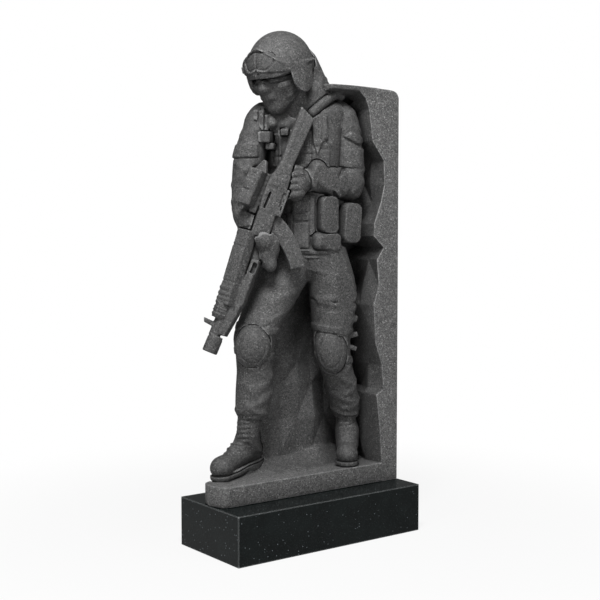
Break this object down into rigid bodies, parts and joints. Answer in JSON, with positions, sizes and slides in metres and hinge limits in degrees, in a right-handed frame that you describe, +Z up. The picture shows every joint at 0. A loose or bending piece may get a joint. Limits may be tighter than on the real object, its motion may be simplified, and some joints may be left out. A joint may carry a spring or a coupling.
{
  "type": "war memorial statue",
  "caption": "Granite soldier standing in a hewn niche, carved with its pillar and base plate from one block, on a polished black plinth.",
  "frame": {"origin": "middle of the plinth's underside", "axes": "+Z up, the tallest side; X along the plinth, +X towards the pillar; -Y is the front that the soldier steps out of"},
  "size_m": [0.7, 0.316, 1.5765],
  "materials": {
    "black_granite": "sawn and polished black granite with fine pale flecks",
    "grey_granite": "bush-hammered dark grey granite with light and dark speckle"
  },
  "bodies": {
    "root": {"plinth": "black_granite", "carved_stone": "grey_granite"}
  },
  "joints": []
}
